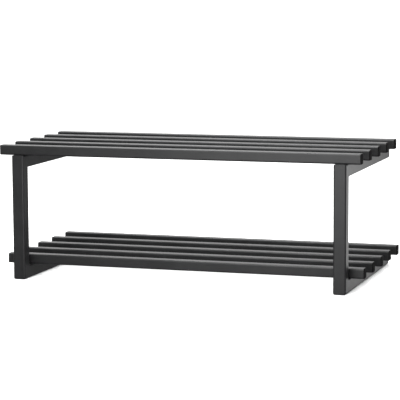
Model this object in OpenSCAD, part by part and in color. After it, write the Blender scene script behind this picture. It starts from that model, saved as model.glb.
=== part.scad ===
// Two-tier entryway bench: a slatted seat over a slatted shoe shelf, carried by two C-shaped
// end frames of square steel tube that are open at the back.
// X runs side to side, Y runs front to back, Z is up. The origin is on the floor, under the middle.

/* [Overall] */
// Length of a slat with its two end plugs
slat_len = 730; // [480:1:1200]
// Depth from the front of the uprights to the back of the arm plugs
frame_depth = 390; // [310:1:480]
// Height of an end frame, without its floor glides
frame_h = 246; // [170:1:420]
// How far a slat runs past the outside of each end frame
overhang = 27; // [6:1:90]

/* [Frame tube] */
// Outside width of the square tube of the end frames
frame_tube = 25; // [20:1:32]
// Wall of the frame tube
frame_wall = 1.5; // [1:0.1:2]
// Outside corner radius of the frame tube
frame_corner_r = 3; // [2.2:0.1:4]

/* [Slat tube] */
// Outside width of the square tube of the slats
slat_tube = 20; // [15:1:26]
// Wall of the slat tube
slat_wall = 1.2; // [1:0.1:2]
// Outside corner radius of the slat tube
slat_corner_r = 3; // [2.2:0.1:4]

/* [Slat rows] */
// Slats in the seat, and again in the shelf
slat_count = 5; // [3:1:6]
// Front face of the uprights to the first seat slat
seat_setback = 5; // [0:1:12]
// Clear gap between the back of the uprights and the first shelf slat
shelf_gap = 13; // [4:1:24]
// Arm left free behind the last shelf slat
shelf_tail = 28; // [20:1:60]

/* [End plugs] */
// Thickness of the plug's head, which covers the tube end
plug_head_t = 1.5; // [1:0.1:3]
// How far the plug's head stays inside the tube's outline
plug_head_inset = 0.25; // [0:0.05:0.5]
// Length of the plug inside the tube
plug_insert_len = 12; // [8:1:18]
// Wall of the hollow insert
plug_wall = 1.4; // [1:0.1:2]
// Height of the grip ribs above the insert
plug_rib_h = 0.8; // [0.4:0.1:1.2]
// Width of one grip rib
plug_rib_w = 1.2; // [0.8:0.1:2]
// Grip ribs on one insert
plug_ribs = 3; // [2:1:3]
// Clearance between the ribs and the inside of the tube
plug_clearance = 0.1; // [0.05:0.05:0.3]

/* [Floor glides] */
// Radius of the glide's foot
glide_r = 8.5; // [6:0.5:9]
// Thickness of the glide's foot, which is the gap under the frame
glide_t = 1; // [1:0.1:3]
// Radius of the stem that is pressed into the arm
glide_stem_r = 4; // [2.5:0.5:5]
// Length of the stem above the foot
glide_stem_len = 8; // [5:1:12]
// Radius of the barb near the top of the stem
glide_barb_r = 4.6; // [3:0.1:5.6]
// Clearance round the stem in its hole
glide_clearance = 0.1; // [0.05:0.05:0.2]
// Distance from each end of the arm to the middle of a glide
glide_inset = 32; // [28:1:60]

/* [Welds] */
// How far a slat weld spreads onto the arm, clear of the slat
weld_toe = 0.9; // [0.4:0.1:1.5]
// How far a slat weld runs in under the slat's round corner
weld_root = 1.3; // [0.8:0.1:1.6]
// Leg of the fillet weld in the inner corners of the frames
corner_weld_leg = 2.5; // [1.5:0.1:4]

/* [Hidden] */
$fn = 48;
SIDES = ["left", "right"];
SLATS = [1 : slat_count];

// Frames: outside width over both, and the levels that the slats rest on
frames_w = slat_len - 2 * overhang;
frame_front = -frame_depth / 2;
arm_end = frame_depth / 2 - plug_head_t;
frame_top = glide_t + frame_h;
shelf_level = glide_t + frame_tube;

// Rows: both have the pitch that fills the shelf between its gap and its tail
first_seat_y = frame_front + seat_setback;
first_shelf_y = frame_front + frame_tube + shelf_gap;
last_shelf_y = frame_front + frame_depth - shelf_tail - slat_tube;
slat_pitch = (last_shelf_y - first_shelf_y) / (slat_count - 1);

// Slats and welds
slat_cut_len = slat_len - 2 * plug_head_t;
weld_len = frame_tube - 2 * frame_corner_r;
frame_x = frames_w / 2 - frame_tube / 2;

// Glides and plugs: the barb's height, how far it sits below the stem's end, and the least
// radius of a plug's corners
barb_h = 1.2;
barb_drop = 2;
plug_least_r = 0.3;

function slat_name(row, i) = str(row, "_slat_", i);
function plug_name(row, i, side) = str(row, "_slat_", i, "_", side, "_plug");
function arm_plug_name(side, level) = str(side, "_", level, "_arm_plug");
function sign_of(side) = side == "left" ? -1 : 1;
function seat_y(i) = first_seat_y + (i - 1) * slat_pitch;
function shelf_y(i) = first_shelf_y + (i - 1) * slat_pitch;

// A square with round corners, centred
module rounded_square(size, r) {
    flat = size - 2 * r;
    square([flat, size], center = true);
    square([size, flat], center = true);
    for (x = [-1, 1], y = [-1, 1])
        translate([x * flat / 2, y * flat / 2]) circle(r);
}

// The section of a square tube
module tube_section(size, wall, r) {
    difference() {
        rounded_square(size, r);
        rounded_square(size - 2 * wall, r - wall);
    }
}

// Stands an outline drawn in Y and Z along X, centred on x = 0
module along_x(length) {
    translate([-length / 2, 0, 0]) rotate([90, 0, 90]) linear_extrude(length) children();
}

// Places a piece of an end frame: x = 0 is the middle of its tube, y = 0 its front, z = 0 its foot
module frame_place(side) {
    translate([sign_of(side) * frame_x, frame_front, glide_t]) children();
}

// The front tube of an end frame, mitred at both ends
module upright() {
    color("#3b3c3f") intersection() {
        translate([0, frame_tube / 2, 0])
            linear_extrude(frame_h) tube_section(frame_tube, frame_wall, frame_corner_r);
        along_x(2 * frame_tube) polygon([
            [0, 0], [frame_tube, frame_tube], [frame_tube, frame_h - frame_tube], [0, frame_h]
        ]);
    }
}

// A tube that runs back from the upright, mitred at its front; its square top is at z = 0
module mitred_arm() {
    arm_len = arm_end - frame_front;
    intersection() {
        translate([0, arm_len, -frame_tube / 2]) rotate([90, 0, 0])
            linear_extrude(arm_len) tube_section(frame_tube, frame_wall, frame_corner_r);
        along_x(2 * frame_tube) polygon([
            [0, 0], [frame_tube, -frame_tube], [arm_len, -frame_tube], [arm_len, 0]
        ]);
    }
}

module upper_arm() {
    color("#46474a") translate([0, 0, frame_h]) mitred_arm();
}

// The lower arm is the foot of the frame, with a hole for the stem of each glide
module lower_arm() {
    color("#46474a") difference() {
        mirror([0, 0, 1]) mitred_arm();
        for (y = [glide_inset, arm_end - frame_front - glide_inset])
            translate([0, y, -frame_wall])
                cylinder(r = glide_stem_r + glide_clearance, h = 3 * frame_wall);
    }
}

// The fillet welds inside the two corners of an end frame
module corner_welds() {
    leg = corner_weld_leg;
    color("#303134") {
        translate([0, frame_tube, frame_tube])
            along_x(weld_len) polygon([[0, 0], [leg, 0], [0, leg]]);
        translate([0, frame_tube, frame_h - frame_tube])
            along_x(weld_len) polygon([[0, 0], [0, -leg], [leg, 0]]);
    }
}

// A push-in plug for a square tube: its head faces +X and its insert runs towards -X
module tube_plug(size, wall, r) {
    inside = size - 2 * wall - 2 * plug_clearance;
    core = inside - 2 * plug_rib_h;
    core_r = max(r - wall - plug_rib_h, plug_least_r);
    rib_r = max(r - wall - plug_clearance, plug_least_r);
    rib_pitch = (plug_insert_len - plug_rib_w) / plug_ribs;
    color("#161617") rotate([90, 0, 90]) {
        linear_extrude(plug_head_t) rounded_square(size - 2 * plug_head_inset, r - plug_head_inset);
        translate([0, 0, -plug_insert_len]) linear_extrude(plug_insert_len) difference() {
            rounded_square(core, core_r);
            square(core - 2 * plug_wall, center = true);
        }
        // Each rib starts inside the wall of the insert
        for (k = [1 : plug_ribs])
            translate([0, 0, -k * rib_pitch]) linear_extrude(plug_rib_w) difference() {
                rounded_square(inside, rib_r);
                square(core - plug_wall, center = true);
            }
    }
}

// The plug in the back end of an arm
module arm_plug(level) {
    z = level == "upper" ? frame_h - frame_tube / 2 : frame_tube / 2;
    translate([0, arm_end - frame_front, z])
        rotate([0, 0, 90]) tube_plug(frame_tube, frame_wall, frame_corner_r);
}

// A slat whose front face is at y and whose underside is at z
module slat(y, z) {
    color("#4b4c4f") translate([0, y + slat_tube / 2, z + slat_tube / 2])
        along_x(slat_cut_len) tube_section(slat_tube, slat_wall, slat_corner_r);
}

// The plug in one end of that slat
module slat_plug(y, z, side) {
    translate([sign_of(side) * slat_cut_len / 2, y + slat_tube / 2, z + slat_tube / 2])
        mirror([side == "left" ? 1 : 0, 0, 0]) tube_plug(slat_tube, slat_wall, slat_corner_r);
}

// One weld bead in the groove between a slat's round corner and the top of an arm
module groove_bead() {
    along_x(weld_len) difference() {
        polygon([[-weld_toe, 0], [weld_root, 0], [weld_root, weld_root]]);
        translate([slat_corner_r, slat_corner_r]) circle(slat_corner_r);
    }
}

// The beads at the front and back of a slat, over both end frames
module slat_welds(y, z) {
    for (side = SIDES)
        translate([sign_of(side) * frame_x, y, z]) {
            groove_bead();
            translate([0, slat_tube, 0]) mirror([0, 1, 0]) groove_bead();
        }
}

module seat_slat_welds() {
    color("#303134") for (i = SLATS) slat_welds(seat_y(i), frame_top);
}

module shelf_slat_welds() {
    color("#303134") for (i = SLATS) slat_welds(shelf_y(i), shelf_level);
}

// A glide under the lower arm: a flat foot and a barbed stem
module glide(end) {
    y = end == "front" ? glide_inset : arm_end - frame_front - glide_inset;
    color("#1e1e20") translate([0, y, -glide_t]) {
        cylinder(r = glide_r, h = glide_t);
        cylinder(r = glide_stem_r, h = glide_t + glide_stem_len);
        translate([0, 0, glide_t + glide_stem_len - barb_drop - barb_h])
            cylinder(r = glide_barb_r, h = barb_h);
    }
}

for (s = SIDES) {
    frame_place(s) upright();
    frame_place(s) upper_arm();
    frame_place(s) lower_arm();
    frame_place(s) corner_welds();
    for (level = ["upper", "lower"])
        frame_place(s) arm_plug(level);
    for (end = ["front", "rear"])
        frame_place(s) glide(end);
}
for (i = SLATS) {
    slat(seat_y(i), frame_top);
    slat(shelf_y(i), shelf_level);
    for (s = SIDES) {
        slat_plug(seat_y(i), frame_top, s);
        slat_plug(shelf_y(i), shelf_level, s);
    }
}
seat_slat_welds();
shelf_slat_welds();
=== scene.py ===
"""Looks of a two-tier slatted bench: black powder-coated square tube with plastic end plugs.

Metres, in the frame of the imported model. Its nodes keep their names; each new piece here
rides on the one body and stands for the node that it replaces.
"""

import math

import bmesh
import bpy
from mathutils import Matrix, Quaternion, Vector


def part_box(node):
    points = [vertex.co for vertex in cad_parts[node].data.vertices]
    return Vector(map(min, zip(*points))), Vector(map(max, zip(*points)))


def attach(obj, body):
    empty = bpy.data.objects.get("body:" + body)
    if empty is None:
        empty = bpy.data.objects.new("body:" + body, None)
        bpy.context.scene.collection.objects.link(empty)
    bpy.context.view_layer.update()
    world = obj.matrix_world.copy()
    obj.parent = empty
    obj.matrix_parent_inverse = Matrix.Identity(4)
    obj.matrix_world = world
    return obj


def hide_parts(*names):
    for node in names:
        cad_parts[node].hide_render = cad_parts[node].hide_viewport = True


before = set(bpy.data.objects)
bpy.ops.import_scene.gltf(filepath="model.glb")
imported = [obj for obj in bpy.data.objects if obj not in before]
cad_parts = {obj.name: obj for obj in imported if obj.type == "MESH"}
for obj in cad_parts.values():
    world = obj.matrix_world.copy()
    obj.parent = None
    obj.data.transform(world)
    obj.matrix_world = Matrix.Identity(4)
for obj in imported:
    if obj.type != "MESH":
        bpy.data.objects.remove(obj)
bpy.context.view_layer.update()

BODY = "root"
SIDES = ("left", "right")
LEVELS = ("upper", "lower")
ENDS = ("front", "rear")
ROWS = ("seat", "shelf")
SLATS = range(1, 1 + sum(name.startswith("seat_slat_") and name[-1].isdigit()
                         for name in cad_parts))

# The two tubes: outer corner radius and wall
FRAME_CORNER_R = 0.003
FRAME_WALL = 0.0015
SLAT_CORNER_R = 0.003
SLAT_WALL = 0.0012

# Head of a plug: thickness, radius of its rim, height of its crown, and the share of its
# width that each step of the crown keeps
HEAD_T = 0.0015
HEAD_RIM = 0.0005
HEAD_CROWN = 0.0002
CROWN_SHARES = (0.75, 0.6)
HEAD_CORNER_SEGMENTS = 6
HEAD_RIM_SEGMENTS = 4

# Insert of a plug: a sleeve with ribs round it that grip the inside of the tube. The head is
# smaller than the tube by its inset on each side
INSERT_LEN = 0.012
INSERT_WALL = 0.0014
RIB_H = 0.0008
RIB_W = 0.0012
RIBS = 3
RIB_GAP = 0.0001
HEAD_INSET = 0.00025
INSERT_CORNER_SEGMENTS = 3
LEAST_CORNER_R = 0.0003

# Weld beads: radius, spacing of the ripples and how deep they are, as a share of the radius
GROOVE_BEAD_R = 0.0011
CORNER_BEAD_R = 0.0019
RIPPLE_PITCH = 0.0012
RIPPLE_DEPTH = 0.2
BEAD_SIDES = 10
RINGS_PER_RIPPLE = 3
LEAST_BEAD_STEPS = 8

# Rounded ends of a bead: how many rings they take, and how far along the curve the first is
BEAD_END_STEPS = 3
BEAD_END_START = 0.35

# How far a bead's middle lies from the surfaces it joins, as a share of its radius
GROOVE_BEAD_SHARE = 0.25
CORNER_BEAD_SHARE = 1 / 3

# Floor glide: stem, the barb that holds it in the arm, and the small chamfer on its edges
GLIDE_STEM_R = 0.004
GLIDE_BARB_R = 0.0046
GLIDE_BARB_H = 0.0012
GLIDE_BARB_DROP = 0.002
GLIDE_CHAMFER = 0.0003
GLIDE_SIDES = 40
SAME_PLACE = 1e-6

# Edges sharper than this, in degrees, stay crisp when a piece is shaded smooth
CRISP_ANGLE = 40
BEAD_CRISP_ANGLE = 60

# Noise in the finishes: features per metre, detail and roughness
COAT_TONE = (22, 3, 0.55)
COAT_PEEL = (620, 1.5, 0.5)
COAT_GRAIN = (2600, 2, 0.6)
COAT_GLOSS = (60, 4, 0.6)
PLASTIC_CLOUD = (160, 3, 0.6)
PLASTIC_GRAIN = (2200, 2, 0.65)
PAPER_CLOUD = (3, 2, 0.5)

# The part of the noise's range that is spread over a finish's own range
NOISE_LOW = 0.3
NOISE_HIGH = 0.7

# Powder coat: its two tones, how much its roughness varies, and its relief
COAT_DEEP = (0.0060, 0.0062, 0.0066)
COAT_WORN = (0.0095, 0.0097, 0.0102)
COAT_ROUGHNESS_SPREAD = 0.015
COAT_IOR = 1.5
PEEL_HEIGHT = 0.00012
COAT_GRAIN_HEIGHT = 0.00003
COAT_GRAIN_STRENGTH = 0.25

# Moulded plastic: its tones, the factors between which they vary, and its relief
PLUG_TONE = (0.0028, 0.0028, 0.003)
GLIDE_TONE = (0.012, 0.012, 0.0125)
PLASTIC_DARKER = 0.8
PLASTIC_LIGHTER = 1.25
PLASTIC_ROUGHNESS_SPREAD = 0.05
MOULD_GRAIN_HEIGHT = 0.00006
MOULD_GRAIN_STRENGTH = 0.5

# Studio paper on the floor
PAPER_DARKER = (0.82, 0.82, 0.82)
PAPER_LIGHTER = (0.86, 0.86, 0.86)
PAPER_ROUGHNESS = 0.85
PAPER_GLOSS = 0.2
FLOOR_SIZE = 60

# Camera
CAMERA_AT = (1.1238, -3.5443, 0.6178)
CAMERA_AIM = (-0.0105, 0.0, 0.1456)
CAMERA_LENS = 166.79
CAMERA_ROLL = 0.0053

# Light from all round: the middle of its bright patch, the cosines of the angles from there
# at which the patch ends and is full, and the strengths outside and inside it
GLOW_TOWARDS = (-0.3, 0.92, 0.22)
GLOW_ENDS = 0.86
GLOW_FULL = 0.96
DIM_STRENGTH = 0.19
GLOW_STRENGTH = 0.95

# Ceiling light, with its spread in degrees
CEILING_IRRADIANCE = 5.2
CEILING_SPREAD = 120


# ---------------------------------------------------------------- materials

def fresh_material(name):
    """A material with its own empty Principled shader, and helpers for its nodes."""
    material = bpy.data.materials.new(name)
    material.use_nodes = True
    nodes = material.node_tree.nodes
    return material, nodes, material.node_tree.links, nodes["Principled BSDF"]


def noise_field(nodes, links, scale, detail, roughness):
    """Noise over the object, in features of about 1 / scale metres."""
    where = nodes.new("ShaderNodeTexCoord")
    field = nodes.new("ShaderNodeTexNoise")
    field.inputs["Scale"].default_value = scale
    field.inputs["Detail"].default_value = detail
    field.inputs["Roughness"].default_value = roughness
    links.new(where.outputs["Object"], field.inputs["Vector"])
    return field.outputs["Fac"]


def spread(nodes, links, field, low, high):
    """Turns noise into a value from low to high."""
    remap = nodes.new("ShaderNodeMapRange")
    remap.inputs["From Min"].default_value = NOISE_LOW
    remap.inputs["From Max"].default_value = NOISE_HIGH
    remap.inputs["To Min"].default_value = low
    remap.inputs["To Max"].default_value = high
    links.new(field, remap.inputs["Value"])
    return remap.outputs["Result"]


def colour_between(nodes, links, factor, first, second):
    """A colour that runs from the first to the second as the factor rises."""
    blend = nodes.new("ShaderNodeMix")
    blend.data_type = "RGBA"
    blend.inputs["A"].default_value = (*first, 1)
    blend.inputs["B"].default_value = (*second, 1)
    links.new(factor, blend.inputs["Factor"])
    return blend.outputs["Result"]


def bumped(nodes, links, layers):
    """Bump layers, each (height, strength, distance), one on top of the other."""
    normal = None
    for height, strength, distance in layers:
        bump = nodes.new("ShaderNodeBump")
        bump.inputs["Strength"].default_value = strength
        bump.inputs["Distance"].default_value = distance
        links.new(height, bump.inputs["Height"])
        if normal:
            links.new(normal, bump.inputs["Normal"])
        normal = bump.outputs["Normal"]
    return normal


def powder_coat(name, orange_peel, painted_shade_factor, roughness, gloss_level):
    """Satin black powder coat: orange peel, fine grain, and soft changes of gloss and tone. Its
    colour is multiplied by a factor, and a factor below one paints shade onto pieces that sit in
    shade.
    """
    material, nodes, links, shader = fresh_material(name)
    tone = noise_field(nodes, links, *COAT_TONE)
    peel = noise_field(nodes, links, *COAT_PEEL)
    grain = noise_field(nodes, links, *COAT_GRAIN)
    gloss = noise_field(nodes, links, *COAT_GLOSS)
    # Both tones are darkened by the painted shade factor
    deep = tuple(painted_shade_factor * c for c in COAT_DEEP)
    worn = tuple(painted_shade_factor * c for c in COAT_WORN)
    links.new(colour_between(nodes, links, spread(nodes, links, tone, 0, 1), deep, worn),
              shader.inputs["Base Color"])
    links.new(spread(nodes, links, gloss, roughness - COAT_ROUGHNESS_SPREAD,
                     roughness + COAT_ROUGHNESS_SPREAD), shader.inputs["Roughness"])
    relief = [(peel, orange_peel, PEEL_HEIGHT), (grain, COAT_GRAIN_STRENGTH, COAT_GRAIN_HEIGHT)]
    links.new(bumped(nodes, links, relief), shader.inputs["Normal"])
    shader.inputs["IOR"].default_value = COAT_IOR
    shader.inputs["Specular IOR Level"].default_value = gloss_level
    return material


def moulded_plastic(name, tone, roughness, gloss_level):
    """Matt moulded plastic with the fine texture of a spark-eroded mould."""
    material, nodes, links, shader = fresh_material(name)
    cloud = noise_field(nodes, links, *PLASTIC_CLOUD)
    grain = noise_field(nodes, links, *PLASTIC_GRAIN)
    darker = tuple(PLASTIC_DARKER * c for c in tone)
    lighter = tuple(PLASTIC_LIGHTER * c for c in tone)
    links.new(colour_between(nodes, links, spread(nodes, links, cloud, 0, 1), darker, lighter),
              shader.inputs["Base Color"])
    links.new(spread(nodes, links, grain, roughness - PLASTIC_ROUGHNESS_SPREAD,
                     roughness + PLASTIC_ROUGHNESS_SPREAD), shader.inputs["Roughness"])
    relief = [(grain, MOULD_GRAIN_STRENGTH, MOULD_GRAIN_HEIGHT)]
    links.new(bumped(nodes, links, relief), shader.inputs["Normal"])
    shader.inputs["Specular IOR Level"].default_value = gloss_level
    return material


def studio_paper(name):
    """The pale floor: even, slightly mottled paper."""
    material, nodes, links, shader = fresh_material(name)
    cloud = noise_field(nodes, links, *PAPER_CLOUD)
    links.new(colour_between(nodes, links, cloud, PAPER_DARKER, PAPER_LIGHTER),
              shader.inputs["Base Color"])
    shader.inputs["Roughness"].default_value = PAPER_ROUGHNESS
    shader.inputs["Specular IOR Level"].default_value = PAPER_GLOSS
    return material


tube_coat = powder_coat("satin_black_powder_coat", orange_peel=0.35, painted_shade_factor=1.0,
                        roughness=0.345, gloss_level=0.5)
# The coat on the weld beads is painted at 0.6 of the tube coat's colour. This is painted shade
# in the grooves under the slats and in the inner corners of the frames; the real beads carry the
# same powder coat.
weld_coat_painted_shade = powder_coat("powder_coat_over_weld_painted_shade", orange_peel=0.6, painted_shade_factor=0.6,
                        roughness=0.5, gloss_level=0.2)
plug_black = moulded_plastic("black_plug_plastic", PLUG_TONE, roughness=0.8, gloss_level=0.06)
glide_black = moulded_plastic("black_glide_plastic", GLIDE_TONE, roughness=0.6, gloss_level=0.3)


# ------------------------------------------------------------------- pieces

def finished(bm, name, material, node, crisp_angle=CRISP_ANGLE):
    """Turns a finished bmesh into a piece that rides on the body and stands for the node."""
    bmesh.ops.recalc_face_normals(bm, faces=bm.faces)
    mesh = bpy.data.meshes.new(name)
    bm.to_mesh(mesh)
    bm.free()
    mesh.polygons.foreach_set("use_smooth", [True] * len(mesh.polygons))
    mesh.set_sharp_from_angle(angle=math.radians(crisp_angle))
    mesh.materials.append(material)
    piece = bpy.data.objects.new(name, mesh)
    bpy.context.scene.collection.objects.link(piece)
    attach(piece, BODY)
    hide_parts(node)


def block(bm, x, y, z):
    """A box between the two values given for each axis. Returns its vertices."""
    sizes = [high - low for low, high in (x, y, z)]
    middle = [(high + low) / 2 for low, high in (x, y, z)]
    place = Matrix.Translation(middle) @ Matrix.Diagonal((*sizes, 1))
    return bmesh.ops.create_cube(bm, size=1, matrix=place)["verts"]


def edges_of(verts):
    """Every edge that has at least one of the vertices."""
    return {edge for vert in verts for edge in vert.link_edges}


def faces_of(verts):
    """Every face that has at least one of the vertices."""
    return {face for vert in verts for face in vert.link_faces}


def loop_of(ring):
    """The edges between the vertices of a ring."""
    return [edge for edge in edges_of(ring) if all(vert in ring for vert in edge.verts)]


def runs_along_x(edge):
    """Whether an edge is longer along X than along Y and Z."""
    a, b = edge.verts
    return abs(a.co.x - b.co.x) > max(abs(a.co.y - b.co.y), abs(a.co.z - b.co.z))


def rounded_bar(bm, x, half, r, segments):
    """A square bar along X, between two values of x, with its four long edges rounded."""
    verts = block(bm, x, (-half, half), (-half, half))
    made = bmesh.ops.bevel(bm, geom=[e for e in edges_of(verts) if runs_along_x(e)], offset=r,
                           affect="EDGES", segments=segments, profile=0.5, material=-1)
    return set(made["verts"]) | {v for v in verts if v.is_valid}


def end_face(verts, x_side):
    """The flat face at the end of a bar, on the +X or -X side."""
    for face in faces_of(verts):
        face.normal_update()
    return max(faces_of(verts), key=lambda face: x_side * face.normal.x * face.calc_area())


def stepped_face(bm, face, share, shift):
    """Draws a smaller copy of a face out of it, and moves the copy along X. Returns the copy."""
    face = bmesh.ops.extrude_discrete_faces(bm, faces=[face])["faces"][0]
    middle = face.calc_center_median()
    bmesh.ops.scale(bm, verts=face.verts, vec=(1, share, share),
                    space=Matrix.Translation(-middle))
    bmesh.ops.translate(bm, verts=face.verts, vec=(shift, 0, 0))
    return face


def tube_plug(bm, half, r, wall):
    """A push-in plug whose head faces +X and whose head meets the tube end at x = 0."""
    # Head: a plate with a rounded rim and a slight crown
    head = rounded_bar(bm, (0, HEAD_T - HEAD_CROWN), half, r, HEAD_CORNER_SEGMENTS)
    face = end_face(head, 1)
    made = bmesh.ops.bevel(bm, geom=list(face.edges), offset=HEAD_RIM, affect="EDGES",
                           segments=HEAD_RIM_SEGMENTS, profile=0.5, material=-1)
    face = end_face({v for f in made["faces"] for v in f.verts}, 1)
    for share in CROWN_SHARES:
        face = stepped_face(bm, face, share, HEAD_CROWN / len(CROWN_SHARES))
    # Insert: a hollow sleeve, open at its inner end, with grip ribs round it
    core = half + HEAD_INSET - wall - RIB_GAP - RIB_H
    core_r = max(r - wall - RIB_H, LEAST_CORNER_R)
    sleeve = rounded_bar(bm, (-INSERT_LEN, 0), core, core_r, INSERT_CORNER_SEGMENTS)
    mouth = stepped_face(bm, end_face(sleeve, -1), (core - INSERT_WALL) / core, 0)
    stepped_face(bm, mouth, 1, INSERT_LEN - INSERT_WALL)
    pitch = (INSERT_LEN - RIB_W) / RIBS
    for k in range(1, RIBS + 1):
        rounded_bar(bm, (-k * pitch, -k * pitch + RIB_W), core + RIB_H,
                    max(r - wall, LEAST_CORNER_R), INSERT_CORNER_SEGMENTS)


def slat_plug(row, i, side):
    """The plug in one end of a slat."""
    node = f"{row}_slat_{i}_{side}_plug"
    tube_low, tube_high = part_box(f"{row}_slat_{i}")
    low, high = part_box(node)
    bm = bmesh.new()
    tube_plug(bm, (high.y - low.y) / 2, SLAT_CORNER_R, SLAT_WALL)
    turn = Matrix.Rotation(math.pi if side == "left" else 0, 4, "Z")
    tube_end = tube_low.x if side == "left" else tube_high.x
    middle = (tube_low + tube_high) / 2
    bmesh.ops.transform(bm, verts=bm.verts,
                        matrix=Matrix.Translation((tube_end, middle.y, middle.z)) @ turn)
    finished(bm, f"{row}_slat_{i}_{side}_end_cap", plug_black, node)


def arm_plug(side, level):
    """The plug in the back end of an arm."""
    node = f"{side}_{level}_arm_plug"
    tube_low, tube_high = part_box(f"{side}_{level}_arm")
    low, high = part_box(node)
    bm = bmesh.new()
    tube_plug(bm, (high.x - low.x) / 2, FRAME_CORNER_R, FRAME_WALL)
    middle = (low + high) / 2
    place = Matrix.Translation((middle.x, tube_high.y, middle.z))
    bmesh.ops.transform(bm, verts=bm.verts, matrix=place @ Matrix.Rotation(math.pi / 2, 4, "Z"))
    finished(bm, f"{side}_{level}_arm_end_cap", plug_black, node)


def weld_bead(bm, start, length, radius):
    """A rippled bead along +X: a ring drawn out ring by ring, with its ends closed."""
    ring = bmesh.ops.create_circle(bm, cap_ends=False, radius=radius, segments=BEAD_SIDES,
                                   matrix=Matrix.Rotation(math.pi / 2, 4, "Y"))["verts"]
    bmesh.ops.translate(bm, verts=ring, vec=start)
    steps = max(LEAST_BEAD_STEPS, round(length / RIPPLE_PITCH) * RINGS_PER_RIPPLE)
    rings = [ring]
    for _ in range(steps):
        made = bmesh.ops.extrude_edge_only(bm, edges=loop_of(rings[-1]))["geom"]
        ring = [item for item in made if isinstance(item, bmesh.types.BMVert)]
        bmesh.ops.translate(bm, verts=ring, vec=(length / steps, 0, 0))
        rings.append(ring)
    for k, ring in enumerate(rings):
        ripple = 1 - RIPPLE_DEPTH * (k % RINGS_PER_RIPPLE) / RINGS_PER_RIPPLE
        from_end = min(1, (min(k, steps - k) + BEAD_END_START) / BEAD_END_STEPS)
        thickness = ripple * math.sqrt(1 - (1 - from_end) ** 2)
        middle = Vector(start) + Vector((length * k / steps, 0, 0))
        bmesh.ops.scale(bm, verts=ring, vec=(1, thickness, thickness),
                        space=Matrix.Translation(-middle))
    for ring in (rings[0], rings[-1]):
        bmesh.ops.contextual_create(bm, geom=loop_of(ring))


def slat_welds(row):
    """The beads in the grooves between a row of slats and the two arms under it."""
    bm = bmesh.new()
    level = "upper" if row == "seat" else "lower"
    inset = GROOVE_BEAD_SHARE * GROOVE_BEAD_R
    for side in SIDES:
        arm_low, arm_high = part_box(f"{side}_{level}_arm")
        start_x = arm_low.x + FRAME_CORNER_R
        length = arm_high.x - FRAME_CORNER_R - start_x
        for i in SLATS:
            low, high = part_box(f"{row}_slat_{i}")
            for y in (low.y + inset, high.y - inset):
                weld_bead(bm, (start_x, y, low.z + inset), length, GROOVE_BEAD_R)
    finished(bm, f"{row}_slat_weld_beads", weld_coat_painted_shade, f"{row}_slat_welds",
             crisp_angle=BEAD_CRISP_ANGLE)


def corner_welds(side):
    """The beads in the two inner corners of an end frame."""
    bm = bmesh.new()
    low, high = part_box(f"{side}_corner_welds")
    inset = CORNER_BEAD_SHARE * CORNER_BEAD_R
    for z in (low.z + inset, high.z - inset):
        weld_bead(bm, (low.x, low.y + inset, z), high.x - low.x, CORNER_BEAD_R)
    finished(bm, f"{side}_corner_weld_beads", weld_coat_painted_shade,
             f"{side}_corner_welds", crisp_angle=BEAD_CRISP_ANGLE)


def glide(side, end):
    """A floor glide: half of its outline is spun round its stem."""
    node = f"{side}_{end}_glide"
    low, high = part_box(node)
    middle = (low + high) / 2
    foot_r = (high.x - low.x) / 2
    arm_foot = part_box(f"{side}_lower_arm")[0].z
    barb_top = high.z - GLIDE_BARB_DROP
    barb_foot = barb_top - GLIDE_BARB_H
    outline = [
        (0, low.z), (foot_r - 2 * GLIDE_CHAMFER, low.z), (foot_r, low.z + GLIDE_CHAMFER),
        (foot_r, arm_foot - GLIDE_CHAMFER), (foot_r - GLIDE_CHAMFER, arm_foot),
        (GLIDE_STEM_R, arm_foot), (GLIDE_STEM_R, barb_foot), (GLIDE_BARB_R, barb_foot),
        (GLIDE_STEM_R, barb_top), (GLIDE_STEM_R, high.z - GLIDE_CHAMFER),
        (GLIDE_STEM_R - GLIDE_CHAMFER, high.z), (0, high.z),
    ]
    bm = bmesh.new()
    verts = [bm.verts.new((r, 0, z)) for r, z in outline]
    edges = [bm.edges.new(pair) for pair in zip(verts, verts[1:])]
    bmesh.ops.spin(bm, geom=verts + edges, cent=(0, 0, 0), axis=(0, 0, 1),
                   angle=2 * math.pi, steps=GLIDE_SIDES, use_merge=True)
    bmesh.ops.remove_doubles(bm, verts=bm.verts, dist=SAME_PLACE)
    bmesh.ops.translate(bm, verts=bm.verts, vec=(middle.x, middle.y, 0))
    finished(bm, f"{side}_{end}_floor_glide", glide_black, node)


for row in ROWS:
    for i in SLATS:
        for side in SIDES:
            slat_plug(row, i, side)
    slat_welds(row)
for side in SIDES:
    corner_welds(side)
    for level in LEVELS:
        arm_plug(side, level)
    for end in ENDS:
        glide(side, end)

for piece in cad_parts.values():
    for slot in piece.material_slots:
        slot.material = tube_coat
    if not piece.material_slots:
        piece.data.materials.append(tube_coat)


# ------------------------------------------------------------------- studio

def softbox(name, at, aim, width, height, radiance):
    """A soft area light that shines from one point towards another."""
    light = bpy.data.lights.new(name, "AREA")
    light.shape = "RECTANGLE"
    light.size, light.size_y = width, height
    light.energy = math.pi * width * height * radiance
    lamp = bpy.data.objects.new(name, light)
    lamp.location = at
    lamp.rotation_mode = "QUATERNION"
    lamp.rotation_quaternion = (Vector(aim) - Vector(at)).to_track_quat("-Z", "Y")
    lamp.visible_camera = False
    bpy.context.scene.collection.objects.link(lamp)


def studio_floor():
    """A wide paper floor, which neither shows in the gloss nor shades anything."""
    bm = bmesh.new()
    bmesh.ops.create_grid(bm, x_segments=1, y_segments=1, size=FLOOR_SIZE / 2)
    mesh = bpy.data.meshes.new("studio_floor")
    bm.to_mesh(mesh)
    bm.free()
    mesh.materials.append(studio_paper("studio_paper"))
    floor = bpy.data.objects.new("studio_floor", mesh)
    bpy.context.scene.collection.objects.link(floor)
    floor.visible_glossy = False
    floor.visible_shadow = False


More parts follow.
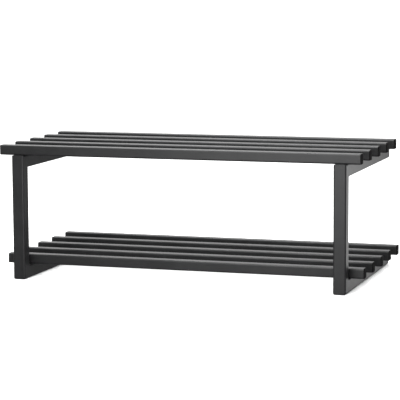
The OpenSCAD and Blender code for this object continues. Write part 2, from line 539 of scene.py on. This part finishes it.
def studio_world():
    """Dim light from all round, with a soft bright patch low behind the bench."""
    world = bpy.data.worlds.new("studio")
    world.use_nodes = True
    bpy.context.scene.world = world
    nodes, links = world.node_tree.nodes, world.node_tree.links
    where = nodes.new("ShaderNodeTexCoord")
    towards = nodes.new("ShaderNodeVectorMath")
    towards.operation = "DOT_PRODUCT"
    towards.inputs[1].default_value = Vector(GLOW_TOWARDS).normalized()
    ramp = nodes.new("ShaderNodeMapRange")
    ramp.interpolation_type = "SMOOTHSTEP"
    ramp.inputs["From Min"].default_value = GLOW_ENDS
    ramp.inputs["From Max"].default_value = GLOW_FULL
    ramp.inputs["To Min"].default_value = DIM_STRENGTH
    ramp.inputs["To Max"].default_value = GLOW_STRENGTH
    links.new(where.outputs["Generated"], towards.inputs[0])
    links.new(towards.outputs["Value"], ramp.inputs["Value"])
    links.new(ramp.outputs["Result"], nodes["Background"].inputs["Strength"])
    nodes["Background"].inputs["Color"].default_value = (1, 1, 1, 1)


def ceiling_light():
    """Even, very soft light from above, which keeps the floor white."""
    light = bpy.data.lights.new("ceiling_light", "SUN")
    light.energy = CEILING_IRRADIANCE
    light.angle = math.radians(CEILING_SPREAD)
    lamp = bpy.data.objects.new("ceiling_light", light)
    lamp.visible_glossy = False
    bpy.context.scene.collection.objects.link(lamp)


def studio_camera():
    """The camera, in front of the bench, past its right end and above the seat."""
    camera = bpy.data.objects.new("camera", bpy.data.cameras.new("camera"))
    camera.data.lens = CAMERA_LENS
    camera.location = CAMERA_AT
    look = (Vector(CAMERA_AIM) - Vector(CAMERA_AT)).to_track_quat("-Z", "Y")
    camera.rotation_mode = "QUATERNION"
    camera.rotation_quaternion = look @ Quaternion((0, 0, 1), -CAMERA_ROLL)
    bpy.context.scene.collection.objects.link(camera)
    bpy.context.scene.camera = camera


studio_floor()
studio_world()
studio_camera()
ceiling_light()
softbox("front_softbox", at=(0.03, -1.7, 0.64), aim=(0.03, 0, 0.45),
        width=1.2, height=1.52, radiance=2.75)
softbox("high_front_softbox", at=(0.15, -1.2, 1.75), aim=(0, 0, 0.25),
        width=1.1, height=1.2, radiance=6.3)
softbox("overhead_softbox", at=(-0.35, 0.35, 1.7), aim=(-0.15, 0, 0.25),
        width=1.6, height=1.0, radiance=5.8)
softbox("rear_fill_softbox", at=(-1.2, 2.3, 1.9), aim=(0, 0.1, 0.15),
        width=1.4, height=1.0, radiance=2.0)
softbox("rear_right_softbox", at=(0.8, 0.8, 0.12), aim=(0.34, 0.05, 0.12),
        width=0.42, height=0.6, radiance=1.85)
bpy.context.scene.view_settings.view_transform = "Standard"
